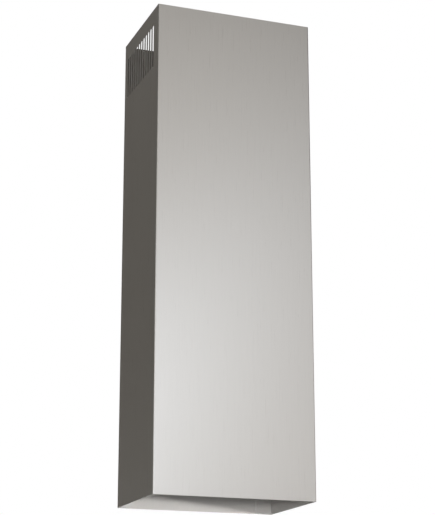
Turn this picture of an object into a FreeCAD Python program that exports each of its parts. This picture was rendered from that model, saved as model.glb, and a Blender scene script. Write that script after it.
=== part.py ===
import FreeCAD, Part
import math
import os

# Cooker hood chimney section: one blank of stainless sheet folded into an upright rectangular tube.
# The blank starts and ends near the right edge of the back, where its two edges lap and are spot welded.
# Both sides have a row of upright air slots near the top, and the back has two screw holes.
# Millimetres. The origin is the centre of the bottom opening, the front faces -Y and +Z is up.

# Overall size, outside
height = 1000.0
width = 333.0
depth = 232.0

# Sheet and folds
sheet = 0.8
corner_inside_radius = 1.2

# Air slots, the same row in the left and the right side
slot_count = 12
slot_pitch = 15.8
slot_width = 9.0
slot_length = 92.0
slot_top_margin = 35.0
slot_row_shift = 5.6

# Lapped seam down the back, near its right edge: the inner edge steps in under the outer edge
seam_side_margin = 25.0
lap_width = 16.0
lap_clearance = 0.1
joggle_gap = 0.8
joggle_run = 3.0
joggle_inside_radius = 1.0

# Spot welds that close the seam
weld_count = 10
weld_diameter = 5.0
weld_end_margin = 50.0

# Screw holes through the back, near the top
fixing_diameter = 5.0
fixing_side_margin = 80.0
fixing_top_margin = 20.0

# How far a cutting tool runs past the sheet that it cuts
tool_overrun = 2.0

# Planes that the features share
front_plane = -depth / 2
back_plane = depth / 2
left_plane = -width / 2
right_plane = width / 2
seam_edge = right_plane - seam_side_margin - lap_width / 2
lap_plane = back_plane - sheet - lap_clearance
slot_top = height - slot_top_margin


def left_of(direction):
    """The direction a quarter turn to the left, seen from above."""
    return FreeCAD.Vector(-direction.y, direction.x, 0)


def run_directions(corners):
    """Unit direction of each straight run between neighbouring corners."""
    return [(end - start).normalize() for start, end in zip(corners, corners[1:])]


def path_moved_left(corners, offset):
    """The same path moved to its left by offset, with each corner where its two moved runs meet."""
    runs = run_directions(corners)
    moved = [corners[0] + left_of(runs[0]) * offset]
    for corner, before, after in zip(corners[1:], runs, runs[1:]):
        bisector = (left_of(before) + left_of(after)).normalize()
        moved.append(corner + bisector * (offset / bisector.dot(left_of(before))))
    moved.append(corners[-1] + left_of(runs[-1]) * offset)
    return moved


def skin_wire(corners, inside_radii, offset):
    """One face of the folded sheet in plan: straight runs joined by bend arcs, offset inwards."""
    points = path_moved_left(corners, offset)
    runs = run_directions(points)
    edges = []
    start = points[0]
    for corner, before, after, inside_radius in zip(points[1:], runs, runs[1:], inside_radii):
        turns_left = left_of(before).dot(after) > 0
        radius = inside_radius + (sheet - offset if turns_left else offset)
        half_turn = before.getAngle(after) / 2
        reach = radius * math.tan(half_turn)
        sagitta = radius / math.cos(half_turn) - radius
        bend_start = corner - before * reach
        bend_middle = corner + (after - before).normalize() * sagitta
        bend_end = corner + after * reach
        edges.append(Part.LineSegment(start, bend_start).toShape())
        edges.append(Part.Arc(bend_start, bend_middle, bend_end).toShape())
        start = bend_end
    edges.append(Part.LineSegment(start, points[-1]).toShape())
    return Part.Wire(edges)


def folded_sheet():
    """The blank after folding, from the hidden edge of the lap all round to the edge that covers it."""
    joggle_start = seam_edge - joggle_gap
    corners = [
        FreeCAD.Vector(seam_edge + lap_width, lap_plane, 0),
        FreeCAD.Vector(joggle_start, lap_plane, 0),
        FreeCAD.Vector(joggle_start - joggle_run, back_plane, 0),
        FreeCAD.Vector(left_plane, back_plane, 0),
        FreeCAD.Vector(left_plane, front_plane, 0),
        FreeCAD.Vector(right_plane, front_plane, 0),
        FreeCAD.Vector(right_plane, back_plane, 0),
        FreeCAD.Vector(seam_edge, back_plane, 0),
    ]
    inside_radii = [joggle_inside_radius] * 2 + [corner_inside_radius] * 4
    outside = skin_wire(corners, inside_radii, 0)
    inside = skin_wire(corners, inside_radii, sheet)
    ends = []
    for index in (0, -1):
        outer_end = outside.OrderedVertexes[index].Point
        inner_end = inside.OrderedVertexes[index].Point
        ends.append(Part.LineSegment(outer_end, inner_end).toShape())
    loop = Part.Wire(Part.__sortEdges__(outside.Edges + inside.Edges + ends))
    return Part.Face(loop).extrude(FreeCAD.Vector(0, 0, height))


def slot_cutter(centre_y):
    """An upright slot with round ends, as a tool that runs through both sides."""
    end_radius = slot_width / 2
    tool_x = left_plane - tool_overrun
    front_y = centre_y - end_radius
    back_y = centre_y + end_radius
    upper_z = slot_top - end_radius
    lower_z = slot_top - slot_length + end_radius
    upper = Part.Arc(
        FreeCAD.Vector(tool_x, front_y, upper_z),
        FreeCAD.Vector(tool_x, centre_y, slot_top),
        FreeCAD.Vector(tool_x, back_y, upper_z),
    )
    lower = Part.Arc(
        FreeCAD.Vector(tool_x, back_y, lower_z),
        FreeCAD.Vector(tool_x, centre_y, slot_top - slot_length),
        FreeCAD.Vector(tool_x, front_y, lower_z),
    )
    edges = [
        upper.toShape(),
        Part.LineSegment(upper.EndPoint, lower.StartPoint).toShape(),
        lower.toShape(),
        Part.LineSegment(lower.EndPoint, upper.StartPoint).toShape(),
    ]
    return Part.Face(Part.Wire(edges)).extrude(FreeCAD.Vector(width + 2 * tool_overrun, 0, 0))


def slot_cutters():
    """The row of slots, even about a centre line a little behind the middle of the side."""
    first = slot_row_shift - slot_pitch * (slot_count - 1) / 2
    return [slot_cutter(first + slot_pitch * index) for index in range(slot_count)]


def fixing_cutters():
    """The two screw holes in the back."""
    inset = width / 2 - fixing_side_margin
    start_y = back_plane - sheet - tool_overrun
    length = sheet + 2 * tool_overrun
    cutters = []
    for x in (-inset, inset):
        centre = FreeCAD.Vector(x, start_y, height - fixing_top_margin)
        cutters.append(Part.makeCylinder(fixing_diameter / 2, length, centre, FreeCAD.Vector(0, 1, 0)))
    return cutters


def spot_welds():
    """Round nuggets that join the two layers of the lap, reaching half way into each."""
    lap_middle = seam_edge + lap_width / 2
    start_y = lap_plane - sheet / 2
    length = lap_clearance + sheet
    spacing = (height - 2 * weld_end_margin) / (weld_count - 1)
    nuggets = []
    for index in range(weld_count):
        centre = FreeCAD.Vector(lap_middle, start_y, weld_end_margin + spacing * index)
        nuggets.append(Part.makeCylinder(weld_diameter / 2, length, centre, FreeCAD.Vector(0, 1, 0)))
    return nuggets


def chimney_shell():
    """The finished shell: folded, welded down the seam, with its slots and screw holes."""
    welded = folded_sheet().fuse(spot_welds())
    return welded.cut(slot_cutters() + fixing_cutters())


os.makedirs("parts", exist_ok=True)
shell = chimney_shell()
print("solids", len(shell.Solids), "valid", shell.isValid(), "volume cm3", round(shell.Volume / 1000, 1))
shell.Solids[0].exportStep("parts/chimney_shell.step")
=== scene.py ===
import math
import bpy
import numpy as np
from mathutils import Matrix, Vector


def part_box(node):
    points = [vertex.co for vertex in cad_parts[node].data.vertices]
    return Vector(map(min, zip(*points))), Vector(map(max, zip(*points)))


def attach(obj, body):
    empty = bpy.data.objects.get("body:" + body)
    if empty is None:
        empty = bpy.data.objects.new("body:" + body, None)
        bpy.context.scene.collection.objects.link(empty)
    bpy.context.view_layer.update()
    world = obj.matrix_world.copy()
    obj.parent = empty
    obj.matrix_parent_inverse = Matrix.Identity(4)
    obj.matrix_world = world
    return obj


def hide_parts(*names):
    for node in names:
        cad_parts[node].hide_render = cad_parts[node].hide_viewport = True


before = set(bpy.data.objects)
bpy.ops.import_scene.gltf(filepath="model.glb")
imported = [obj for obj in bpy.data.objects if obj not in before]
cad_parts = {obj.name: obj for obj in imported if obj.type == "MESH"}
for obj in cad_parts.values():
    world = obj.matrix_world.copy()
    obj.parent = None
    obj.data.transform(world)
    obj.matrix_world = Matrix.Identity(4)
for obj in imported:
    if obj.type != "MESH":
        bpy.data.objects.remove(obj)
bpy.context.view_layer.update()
print("frame loaded:", sorted(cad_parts))

# Metres throughout. The tube stands on z = 0 over the origin, with its plain front towards -Y.
halfWidth, halfDepth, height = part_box("chimney_shell")[1]


# Shader maths: a Value is a socket with operators, and each operation adds one Math node
class Value:
    def __init__(self, tree, socket=None):
        self.tree, self.socket = tree, socket

    # any node: its type, its settings, with stops for a colour ramp, and its sockets by name or number
    def node(self, kind, settings=None, sockets=None, give=0):
        made = self.tree.nodes.new(kind)
        for key, setting in (settings or {}).items():
            if key == "stops":
                stops = made.color_ramp.elements
                while len(stops) < len(setting):
                    stops.new(0.5)
                for stop, (place, colour) in zip(stops, setting):
                    stop.position, stop.color = place, colour
            else:
                setattr(made, key, setting)
        for key, value in (sockets or {}).items():
            if isinstance(value, Value):
                self.tree.links.new(value.socket, made.inputs[key])
            else:
                made.inputs[key].default_value = value
        return Value(self.tree, made.outputs[give]) if made.outputs else None

    def math(self, operation, first, second=0.0):
        return self.node("ShaderNodeMath", {"operation": operation}, {0: first, 1: second})

    def __add__(self, other):
        return self.math("ADD", self, other)

    def __sub__(self, other):
        return self.math("SUBTRACT", self, other)

    def __rsub__(self, other):
        return self.math("SUBTRACT", other, self)

    def __mul__(self, other):
        return self.math("MULTIPLY", self, other)

    __radd__ = __add__


# New material with an empty node tree
def blankMaterial(name):
    material = bpy.data.materials.new(name)
    material.use_nodes = True
    material.node_tree.nodes.clear()
    return material, Value(material.node_tree)


# Noise over Object coordinates, each first multiplied by its own factor.
# A smaller factor draws the noise out along that axis.
def noise(graph, factors, scale, detail, roughness=0.5):
    place = graph.node("ShaderNodeTexCoord", give="Object")
    stretched = graph.node("ShaderNodeMapping", sockets={"Vector": place, "Scale": factors})
    return graph.node("ShaderNodeTexNoise", {"noise_dimensions": "3D"}, {
        "Vector": stretched, "Scale": scale, "Detail": detail, "Roughness": roughness})


# Blend from one colour to another by a factor from 0 to 1
def blend(graph, factor, first, second):
    return graph.node("ShaderNodeMix", {"data_type": "RGBA", "blend_type": "MIX"}, {
        "Factor": factor, 6: first, 7: second}, give=2)


# The same for one colour: from darker to lighter than it by the swing, a share of it
def toned(graph, factor, colour, swing):
    dark, light = (tuple(c * tone for c in colour) + (1.0,) for tone in (1 - swing, 1 + swing))
    return blend(graph, factor, dark, light)


# The three Object coordinates as separate values
def objectPlace(graph):
    place = graph.node("ShaderNodeTexCoord", give="Object")
    split = graph.node("ShaderNodeSeparateXYZ", sockets={0: place})
    return [Value(graph.tree, socket) for socket in split.socket.node.outputs]


brushedLook = {
    "colour": (0.658, 0.65, 0.638),
    "roughness": 0.3,
    "roughnessSwing": 0.08,  # how far a streak is rougher or smoother
    "anisotropic": 0.4,
    "grainAcross": 2200.0,   # streaks per metre across the grain
    "grainAlong": 12.0,      # and along it
    "grainShare": 1.6,       # what the fine streaks give to the whole pattern
    "bandAcross": 180.0,     # broad streaks, in the same way
    "bandAlong": 1.5,
    "bandShare": 0.1,
    "grainDepth": 0.05,      # bump strength
    "grainHeight": 0.0002,   # bump distance
    "grainTone": 0.04,       # how far a streak is lighter or darker
    "heatTint": (0.50, 0.43, 0.33),
    "heatShare": 0.55,
    "heatReach": 2.0,        # how far the tint's ramp goes from a weld's middle, in radii of its dent
    "heatRamp": ((0.0, 0.25), (0.2, 0.3), (0.36, 1.0), (0.8, 0.0)),   # place along that reach, and strength
}


# Distance in the back's plane to the nearest spot weld, as the root of two squares, and y beside it.
# For this z is folded into one weld's spacing, from minus to plus half of it.
def weldDistance(graph, size):
    x, y, z = objectPlace(graph)
    spacing = (height - 2 * size["weldEndMargin"]) / (size["weldCount"] - 1)
    folded = graph.math("FLOORED_MODULO", z + (spacing / 2 - size["weldEndMargin"]), spacing) - spacing / 2
    aside = x - (halfWidth - size["seamSideMargin"])
    return graph.math("SQRT", aside * aside + folded * folded), y


# Satin stainless: upright streaks from noise drawn out along z vary colour, roughness and normal a little.
# Round each spot weld of the back is a faint heat tint, a ring that fades in and out with the distance.
def brushedOutside(look, size):
    material, graph = blankMaterial("brushedOutside")
    grain = (look["grainAcross"], look["grainAcross"], look["grainAlong"])
    band = (look["bandAcross"], look["bandAcross"], look["bandAlong"])
    fine = noise(graph, grain, scale=1.0, detail=3.0, roughness=0.6)
    bands = noise(graph, band, scale=1.0, detail=2.0)
    streak = (fine - 0.5) * look["grainShare"] + (bands - 0.5) * look["bandShare"]
    metal = toned(graph, 0.5 + streak, look["colour"], look["grainTone"])
    distance, y = weldDistance(graph, size)
    stops = [(place, (strength, strength, strength, 1.0)) for place, strength in look["heatRamp"]]
    ring = graph.node("ShaderNodeValToRGB", {"stops": stops}, {
        "Fac": distance * (1 / (look["heatReach"] * size["weldRim"]))})
    onBack = graph.math("GREATER_THAN", y, halfDepth - 2 * size["sheet"])
    colour = blend(graph, onBack * look["heatShare"] * ring, metal, look["heatTint"] + (1.0,))
    bump = graph.node("ShaderNodeBump", {}, {
        "Strength": look["grainDepth"], "Distance": look["grainHeight"], "Height": fine})
    surface = graph.node("ShaderNodeBsdfPrincipled", {}, {
        "Base Color": colour, "Metallic": 1.0, "Anisotropic": look["anisotropic"], "Normal": bump,
        "Roughness": look["roughness"] + streak * look["roughnessSwing"]})
    graph.node("ShaderNodeOutputMaterial", {}, {"Surface": surface})
    return material


millLook = {
    "colour": (0.58, 0.56, 0.535),
    "roughness": 0.6,
    "roughnessSwing": 0.12,
    "mottleScale": 240.0,
    "mottleUp": 0.4,         # the mottle is drawn out a little along z
    "mottleTone": 0.06,
}


# Mill finish of the inside: no grain, a soft fine mottle in roughness and colour
def millInside(look):
    material, graph = blankMaterial("millInside")
    mottle = noise(graph, (1.0, 1.0, look["mottleUp"]), look["mottleScale"], detail=4.0)
    surface = graph.node("ShaderNodeBsdfPrincipled", {}, {
        "Base Color": toned(graph, mottle, look["colour"], look["mottleTone"]), "Metallic": 1.0,
        "Roughness": look["roughness"] + (mottle - 0.5) * look["roughnessSwing"]})
    graph.node("ShaderNodeOutputMaterial", {}, {"Surface": surface})
    return material


edgeLook = {
    "colour": (0.6, 0.59, 0.575),
    "roughness": 0.5,
    "roughnessSwing": 0.2,
    "shearScale": 2600.0,
}


# Bare cut edge of the sheet: fine shear marks in its roughness
def cutEdge(look):
    material, graph = blankMaterial("cutEdge")
    marks = noise(graph, (1.0, 1.0, 1.0), look["shearScale"], detail=2.0)
    surface = graph.node("ShaderNodeBsdfPrincipled", {}, {
        "Base Color": look["colour"] + (1.0,), "Metallic": 1.0,
        "Roughness": look["roughness"] + (marks - 0.5) * look["roughnessSwing"]})
    graph.node("ShaderNodeOutputMaterial", {}, {"Surface": surface})
    return material


shell = {
    "sheet": 0.0008,
    "bendInside": 0.0012,
    "bendSteps": 6,
    "bendGuard": 0.0003,     # grid line this far from a bend, so that its shading ends there
    "slotCount": 12,
    "slotPitch": 0.0158,
    "slotWidth": 0.009,
    "slotLength": 0.092,
    "slotTopMargin": 0.035,
    "slotRowShift": 0.0056,
    "seamSideMargin": 0.025, # middle of the back seam from the right side
    "lapWidth": 0.016,
    "lapClearance": 0.0001,
    "joggleGap": 0.0008,
    "joggleRun": 0.003,
    "joggleInside": 0.001,
    "weldCount": 10,
    "weldEndMargin": 0.05,
    "weldRim": 0.0034,       # outer radius of a weld's dent
    "weldFloor": 0.0016,     # radius of its flat bottom
    "weldDepth": 0.0002,
    "weldLines": 9,          # grid lines across the dent
    "weldGuard": 1.1,        # one more on either side, at so many radii
    "fixingRadius": 0.0025,
    "fixingSideMargin": 0.08,
    "fixingTopMargin": 0.02,
    "roundLines": 7,         # grid lines across a round hole or slot end
    "edgeRound": 0.00012,
    "edgeSteps": 2,
    "edgeAngle": 50.0,       # edges that turn more than this are rounded
    "rowStep": 0.12,         # grid steps where nothing else sets them
    "columnStep": 0.06,
}


# Grid places from 0 to end: the features themselves, and even steps wherever they leave room
def gridPlaces(end, features, step):
    even = np.linspace(0, end, max(2, int(round(end / step)) + 1))
    features = np.asarray(features, float)
    if features.size:
        room = 0.3 * step                   # an even line nearer than this to a feature goes
        nearest = np.abs(even[:, None] - features[None, :]).min(axis=1)
        nearest[[0, -1]] = np.inf           # but both ends stay
        even = even[nearest > room]
    return np.unique(np.round(np.concatenate([even, features]), 7))     # equal places fall together


# Offsets of grid lines across a round end: its radius times the tangents of evenly spaced angles,
# from -45 to 45 degrees
def roundOffsets(radius, lines):
    return radius * np.tan(np.radians(np.linspace(-45, 45, lines)))


# Turns a square ring of grid points into a round one: inside the hole the larger of the two offsets
# becomes the radius, and from the hole's edge out to reach this fades to no change.
# A slot is the same with its middle stretch, the core, left straight.
def roundHole(across, along, radius, core, reach):
    past = np.sign(along) * np.maximum(np.abs(along) - core, 0.0)
    square = np.maximum(np.abs(across), np.abs(past))
    fade = np.clip((reach - square) / (reach - radius), 0.0, 1.0)
    distance = np.maximum(np.hypot(across, past), 1e-9)     # kept above 0, because it divides
    scale = 1.0 + fade * (square / distance - 1.0)
    return across * scale, along + past * (scale - 1.0)


# Outer face of the folded sheet in plan: straight runs with their own grid places, joined by arcs
# whose radius is the inside radius, plus the sheet where the fold closes towards the inside.
# Each run also has a grid line close to either end, which keeps the bend's shading off the flat.
def foldedPath(corners, insideRadii, runPlaces, size):
    sheet, steps, guard = size["sheet"], size["bendSteps"], size["bendGuard"]
    corners = np.asarray(corners, float)
    runs = np.diff(corners, axis=0)
    runs /= np.linalg.norm(runs, axis=1)[:, None]
    turns = np.cross(runs[:-1], runs[1:])
    radii = np.asarray(insideRadii) + np.where(turns > 0, sheet, 0.0)
    angles = np.arcsin(turns)
    reaches = np.concatenate([[0.0], radii * np.tan(np.abs(angles) / 2), [0.0]])
    points, owners = [], []
    for index, run in enumerate(runs):
        length = np.linalg.norm(corners[index + 1] - corners[index])
        first, last = reaches[index], length - reaches[index + 1]
        inner = np.asarray(runPlaces[index], float)
        inner = inner[(inner > first + 2 * guard) & (inner < last - 2 * guard)]
        along = np.concatenate([[first, first + guard], inner, [last - guard, last]])
        points.append(corners[index] + along[:, None] * run)
        owners.append(np.full(len(along), index))
        if index < len(angles):
            side = np.array([-run[1], run[0]]) * np.sign(angles[index])
            centre = points[-1][-1] + side * radii[index]
            turn = np.linspace(0, abs(angles[index]), steps + 1)[1:-1, None]
            points.append(centre + radii[index] * (run * np.sin(turn) - side * np.cos(turn)))
            owners.append(np.full(len(turn), -1))
    return np.concatenate(points), np.concatenate(owners)


# The folded shell's outer face: the plan path carried straight up, with slots and holes left out
# of its grid and rounded, and a shallow round dent over each spot weld of the back seam
def shellSurface(size):
    sheet, pitch, slotHalf = size["sheet"], size["slotPitch"], size["slotWidth"] / 2
    slotMiddle = height - size["slotTopMargin"] - size["slotLength"] / 2
    slotCore = size["slotLength"] / 2 - slotHalf
    slotFirst = size["slotRowShift"] - pitch * (size["slotCount"] - 1) / 2
    slotCentres = slotFirst + pitch * np.arange(size["slotCount"])
    seamMiddle, lapHalf = halfWidth - size["seamSideMargin"], size["lapWidth"] / 2
    seamEdge, lapY = seamMiddle - lapHalf, halfDepth - sheet - size["lapClearance"]
    joggleStart = seamEdge - size["joggleGap"]
    joggleEnd = joggleStart - size["joggleRun"]
    weldSpacing = (height - 2 * size["weldEndMargin"]) / (size["weldCount"] - 1)
    weldHeights = size["weldEndMargin"] + weldSpacing * np.arange(size["weldCount"])
    fixing = size["fixingRadius"]
    fixingReach = 2 * fixing                # the grid round a hole is bent as far as this
    fixingX, fixingZ = halfWidth - size["fixingSideMargin"], height - size["fixingTopMargin"]

    # columns: the folded path, from the lap's hidden edge round to the edge over it, with grid lines
    # at every slot, hole and weld, given as lengths along each run
    corners = [(seamMiddle + lapHalf, lapY), (joggleStart, lapY), (joggleEnd, halfDepth),
               (-halfWidth, halfDepth), (-halfWidth, -halfDepth), (halfWidth, -halfDepth),
               (halfWidth, halfDepth), (seamEdge, halfDepth)]
    dentLines = np.linspace(-1, 1, size["weldLines"])
    weldLines = size["weldRim"] * np.concatenate([[-size["weldGuard"]], dentLines, [size["weldGuard"]]])
    fixingLines = np.concatenate([roundOffsets(fixing, size["roundLines"]), [-fixingReach, fixingReach]])
    slotLines = roundOffsets(slotHalf, size["roundLines"])
    slotColumns = (slotCentres[:, None] + slotLines[None, :]).ravel()
    fixingColumns = np.concatenate([joggleEnd - fixingX - fixingLines, joggleEnd + fixingX - fixingLines])
    step = size["columnStep"]
    runPlaces = {
        "innerLap": np.sort(lapHalf - weldLines),
        "joggle": [],
        "back": gridPlaces(halfWidth + joggleEnd, fixingColumns, step),
        "leftSide": gridPlaces(2 * halfDepth, halfDepth - slotColumns, step),
        "front": gridPlaces(2 * halfWidth, [], step),
        "rightSide": gridPlaces(2 * halfDepth, halfDepth + slotColumns, step),
        "outerLap": gridPlaces(halfWidth - seamEdge, halfWidth - seamMiddle - weldLines, step)}
    insideRadii = [size["joggleInside"]] * 2 + [size["bendInside"]] * 4
    path, owner = foldedPath(corners, insideRadii, list(runPlaces.values()), size)
    isOn = {name: owner == index for index, name in enumerate(runPlaces)}
    isSide = isOn["leftSide"] | isOn["rightSide"]
    isBack = isOn["back"] | isOn["outerLap"]

    # rows: even steps with grid lines at every slot end, hole and weld
    slotRows = slotCore + np.concatenate([slotLines[slotLines >= 0], [pitch / 2]])
    features = np.concatenate([
        slotMiddle + slotRows, slotMiddle - slotRows, fixingZ + fixingLines,
        (weldHeights[:, None] + weldLines[None, :]).ravel()])
    rows = gridPlaces(height, features, size["rowStep"])
    x, z = np.meshgrid(path[:, 0], rows)
    y, _ = np.meshgrid(path[:, 1], rows)

    # cells inside a slot or a screw hole, told by their middles, are left out
    midX, midY, midZ = ((grid[1:, 1:] + grid[:-1, :-1]) / 2 for grid in (x, y, z))
    midSlot = np.abs(midY[..., None] - slotCentres).min(axis=-1)
    sideCell, backCell = isSide[1:] & isSide[:-1], isBack[1:] & isBack[:-1]
    inSlot = sideCell & (midSlot < slotHalf) & (np.abs(midZ - slotMiddle) < slotCore + slotHalf)
    inFixing = backCell & (np.maximum(np.abs(np.abs(midX) - fixingX), np.abs(midZ - fixingZ)) < fixing)

    # round the slot ends and the holes
    nearSlot = slotFirst + pitch * np.clip(np.round((y - slotFirst) / pitch), 0, size["slotCount"] - 1)
    across, along = roundHole(y - nearSlot, z - slotMiddle, slotHalf, slotCore, pitch / 2)
    sideY, sideZ = nearSlot + across, slotMiddle + along
    fixingCentre = np.sign(x) * fixingX
    across, along = roundHole(x - fixingCentre, z - fixingZ, fixing, 0.0, fixingReach)
    backX, backZ = fixingCentre + across, fixingZ + along
    x, y = np.where(isBack, backX, x), np.where(isSide, sideY, y)
    z = np.where(isSide, sideZ, np.where(isBack, backZ, z))

    # weld dents: a flat floor, then half a cosine up to the rim, and half as deep in the layer below
    nearWeld = weldHeights[np.abs(z[..., None] - weldHeights).argmin(axis=-1)]
    fromWeld = np.hypot(x - seamMiddle, z - nearWeld)
    ramp = (fromWeld - size["weldFloor"]) / (size["weldRim"] - size["weldFloor"])
    dent = size["weldDepth"] * (1 + np.cos(np.pi * np.clip(ramp, 0, 1))) / 2
    y = y - np.where(isOn["outerLap"], dent, 0.0) + np.where(isOn["innerLap"], dent / 2, 0.0)
    return np.stack([x, y, z], axis=-1), ~(inSlot | inFixing)


# Mesh object from a grid of points and, if some are left out, the mask of the cells to keep
def gridObject(name, points, materials, keep=True):
    rowCount, columnCount = points.shape[:2]
    index = np.arange(rowCount * columnCount).reshape(rowCount, columnCount)
    faces = np.stack([index[:-1, :-1], index[:-1, 1:], index[1:, 1:], index[1:, :-1]], axis=-1)
    used, faces = np.unique(faces[np.broadcast_to(keep, faces.shape[:2])], return_inverse=True)
    mesh = bpy.data.meshes.new(name)
    mesh.from_pydata(points.reshape(-1, 3)[used].tolist(), [], faces.reshape(-1, 4).tolist())
    mesh.polygons.foreach_set("use_smooth", np.ones(len(mesh.polygons), bool))
    for material in materials:
        mesh.materials.append(material)
    mesh.update()
    made = bpy.data.objects.new(name, mesh)
    bpy.context.scene.collection.objects.link(made)
    return made


# The sheet's thickness goes inwards; its cut edges are rounded a little and take the edge material
def addThickness(piece, size):
    wall = piece.modifiers.new("sheetThickness", "SOLIDIFY")
    wall.thickness, wall.offset, wall.use_even_offset = size["sheet"], -1.0, True
    wall.material_offset, wall.material_offset_rim = 1, 2       # places in the list of finishes
    edge = piece.modifiers.new("deburredEdges", "BEVEL")
    edge.width, edge.segments, edge.material = size["edgeRound"], size["edgeSteps"], 2
    edge.limit_method, edge.angle_limit = "ANGLE", math.radians(size["edgeAngle"])
    edge.harden_normals = True


finishes = [brushedOutside(brushedLook, shell), millInside(millLook), cutEdge(edgeLook)]
points, keep = shellSurface(shell)
foldedShell = gridObject("folded_shell", points, finishes, keep)
addThickness(foldedShell, shell)
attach(foldedShell, "root")
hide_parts("chimney_shell")
print("shell built:", len(foldedShell.data.polygons), "faces on its outer skin")


studio = {
    "floorGap": 0.001,       # floor below the bottom rim
    "floorReach": 60.0,
    "floorColour": (0.8, 0.8, 0.795, 1.0),
    "ambient": 0.7,          # world strength for what isn't seen or mirrored
}


# World: white where the camera and mirror rays see it, less as plain light
def paintWorld(setup):
    world = bpy.data.worlds.new("studioWorld")
    bpy.context.scene.world = world
    world.use_nodes = True
    world.node_tree.nodes.clear()
    graph = Value(world.node_tree)
    seen = [graph.node("ShaderNodeLightPath", give=ray)
            for ray in ("Is Camera Ray", "Is Glossy Ray", "Is Transmission Ray")]
    shown = graph.math("MAXIMUM", graph.math("MAXIMUM", seen[0], seen[1]), seen[2])
    sky = graph.node("ShaderNodeBackground", {}, {
        "Color": (1.0, 1.0, 1.0, 1.0), "Strength": setup["ambient"] + shown * (1.0 - setup["ambient"])})
    graph.node("ShaderNodeOutputWorld", {}, {"Surface": sky})


# Pale floor, a flat grid under the bottom rim. The photo looks up from below it, so from there the camera
# sees through it, and within the tube's outline light passes it as if the tube hung free.
def layFloor(setup):
    material, graph = blankMaterial("paleFloor")
    pale = graph.node("ShaderNodeBsdfDiffuse", {}, {"Color": setup["floorColour"]})
    clear = graph.node("ShaderNodeBsdfTransparent")
    fromBelow = graph.node("ShaderNodeNewGeometry", give="Backfacing")
    seen = graph.node("ShaderNodeLightPath", give="Is Camera Ray")
    x, y, z = objectPlace(graph)
    inside = graph.math("LESS_THAN", graph.math("ABSOLUTE", x), halfWidth) * graph.math(
        "LESS_THAN", graph.math("ABSOLUTE", y), halfDepth)
    surface = graph.node("ShaderNodeMixShader", {}, {
        0: seen * fromBelow + (1.0 - seen) * inside, 1: pale, 2: clear})
    graph.node("ShaderNodeOutputMaterial", {}, {"Surface": surface})
    reach = np.linspace(-setup["floorReach"], setup["floorReach"], 3)
    x, y = np.meshgrid(reach, reach)
    spots = np.stack([x, y, np.full_like(x, -setup["floorGap"])], axis=-1)
    gridObject("studio_floor", spots, [material])


# Surface that only mirror rays see, with one shine all over or its own at each grid point
def mirroredOnly(name, spots, shine):
    material, graph = blankMaterial(name)
    made = gridObject(name, spots, [material])
    if np.ndim(shine) == 1:
        colour = (*shine, 1.0)
    else:
        colour = graph.node("ShaderNodeAttribute", {"attribute_name": "shine"}, give="Color")
        stored = made.data.color_attributes.new("shine", "FLOAT_COLOR", "POINT")
        stored.data.foreach_set("color", np.insert(shine, 3, 1.0, axis=-1).ravel())
    surface = graph.node("ShaderNodeEmission", {}, {"Color": colour, "Strength": 1.0})
    graph.node("ShaderNodeOutputMaterial", {}, {"Surface": surface})
    made.visible_camera = made.visible_shadow = made.visible_diffuse = False


# Walls for the metal to mirror. Each is a part of one large sphere round the tube, from one azimuth and
# elevation to another in degrees. Azimuth 0 is straight in front and 90 to the right.
# The shade goes from its first value at the horizon to its second at the wall's upper edge.
# The last two are under the floor. Only the inside and the bottom edge mirror them, through its clear part.
wallRadius = 6.0
wallGrid = (37, 23)      # points along the azimuth and the elevation
walls = {
    "frontWall": {"turn": (-40, 30), "rise": (-9, 35), "shade": (0.82, 0.59), "tint": (1.045, 1.0, 0.94)},
    "rightWall": {"turn": (30, 100), "rise": (-9, 35), "shade": (0.4, 0.0), "tint": (1.1, 1.0, 0.95)},
    "rightFlag": {"turn": (100, 180), "rise": (18, 35), "shade": (0.0, 0.0), "tint": (1.0, 1.0, 1.0)},
    "darkWall": {"turn": (180, 260), "rise": (-9, 35), "shade": (0.106, 0.106), "tint": (1.09, 1.0, 0.87)},
    "leftFlag": {"turn": (260, 320), "rise": (18, 35), "shade": (0.0, 0.0), "tint": (1.0, 1.0, 1.0)},
    "topFlag": {"turn": (0, 360), "rise": (35, 89), "shade": (0.0, 0.0), "tint": (1.0, 1.0, 1.0)},
    "underFlag": {"turn": (180, 260), "rise": (-80, -9), "shade": (0.0, 0.0), "tint": (1.0, 1.0, 1.0)},
    "underFront": {"turn": (-60, 60), "rise": (-80, -9), "shade": (0.36, 0.36), "tint": (1.0, 1.0, 1.0)},
}
glow = {"turn": -10.8, "rise": -10.0, "lean": 0.822, "fade": (22.7, 5.0), "shine": (3.96, 4.3, 4.73)}


# Sphere points from azimuth and elevation. The glow is a bell curve in both, added to the shade: across it
# its middle climbs by lean, and it fades over so many degrees to the side and upwards.
def standWalls(setups, radius, grid, glow):
    middle = np.array([0.0, 0.0, height / 2])
    for name, setup in setups.items():
        turn, rise = np.meshgrid(np.linspace(*setup["turn"], grid[0]), np.linspace(*setup["rise"], grid[1]))
        around, up = np.radians(turn), np.radians(rise)
        out = np.stack([np.sin(around) * np.cos(up), -np.cos(around) * np.cos(up), np.sin(up)], axis=-1)
        low, high = setup["shade"]
        shade = low + (high - low) * np.clip(rise / setup["rise"][1], 0, 1)
        aside = turn - glow["turn"]
        above = rise - glow["rise"] - glow["lean"] * aside
        bell = np.exp(-(aside / glow["fade"][0]) ** 2 - (above / glow["fade"][1]) ** 2)
        shine = shade[..., None] * np.array(setup["tint"]) + bell[..., None] * np.array(glow["shine"])
        mirroredOnly(name, middle + radius * out, shine)


# Dark card that stands just before the front's top edge and shades the inside behind the slots
topCard = {"rise": 0.16, "before": 0.002, "shade": 0.0}


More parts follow.
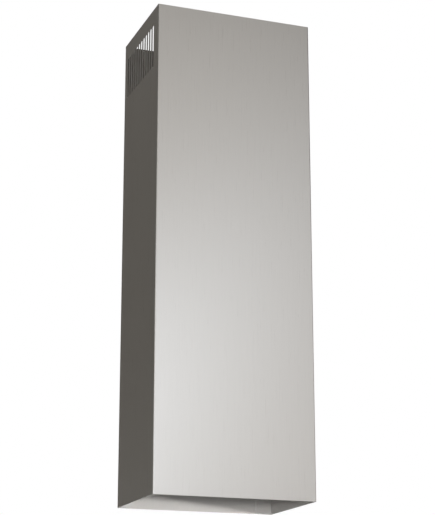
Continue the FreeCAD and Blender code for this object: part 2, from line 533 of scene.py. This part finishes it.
# Flat grid upright over the front, as wide as the tube
def standCard(setup):
    x, z = np.meshgrid([-halfWidth, 0.0, halfWidth], [height + setup["before"], height + setup["rise"]])
    spots = np.stack([x, np.full_like(x, -halfDepth - setup["before"]), z], axis=-1)
    mirroredOnly("top_card", spots, (setup["shade"],) * 3)


# Lamps: a soft one high behind on the left, and low strips on the right, in front and on the left, whose
# narrow beams pass under the bottom rim and light the lowest part of the opposite inside
lamps = {
    "softOverhead": {
        "place": (-1.8, 1.2, 3.6), "aim": (-0.4, 0.2, -0.4), "size": (2.0, 2.0),
        "power": 60.0, "spread": 180},
    "lowStrip": {
        "place": (3.2, -1.5, -0.29), "aim": (0.0, 0.1, 0.0), "size": (1.8, 0.16),
        "power": 2.0, "spread": 12},
    "frontStrip": {
        "place": (0.0, -0.416, -0.049), "aim": (0.0, 0.115, 0.006), "size": (0.6, 0.024),
        "power": 0.008, "spread": 2},
    "leftStrip": {
        "place": (-0.4665, 0.0, -0.0296), "aim": (0.1657, 0.0, 0.003), "size": (0.4, 0.02),
        "power": 0.0058, "spread": 2},
}

# Camera where the photo's stood, with its lens and sensor in millimetres
view = {"place": (-1.0385, -2.838, -0.367), "aim": (0.0046, 0.0, 0.5076), "lens": 106.7, "sensor": 36.0}


# Lamp or camera at its place, turned towards its aim
def pointed(name, data, setup):
    made = bpy.data.objects.new(name, data)
    made.location = setup["place"]
    made.rotation_euler = (Vector(setup["aim"]) - made.location).to_track_quat("-Z", "Y").to_euler()
    bpy.context.scene.collection.objects.link(made)
    return made


# Rectangular area lamps, which the camera doesn't see
def hangLamps(setups):
    for name, setup in setups.items():
        light = bpy.data.lights.new(name, "AREA")
        light.shape, light.energy = "RECTANGLE", setup["power"]
        light.size, light.size_y = setup["size"]
        light.spread = math.radians(setup["spread"])
        pointed(name, light, setup).visible_camera = False


def placeCamera(setup):
    camera = bpy.data.cameras.new("photoView")
    camera.lens, camera.sensor_width = setup["lens"], setup["sensor"]
    bpy.context.scene.camera = pointed("photoView", camera, setup)


paintWorld(studio)
layFloor(studio)
standWalls(walls, wallRadius, wallGrid, glow)
standCard(topCard)
hangLamps(lamps)
placeCamera(view)
bpy.context.scene.view_settings.view_transform = "Standard"
print("studio and camera set")
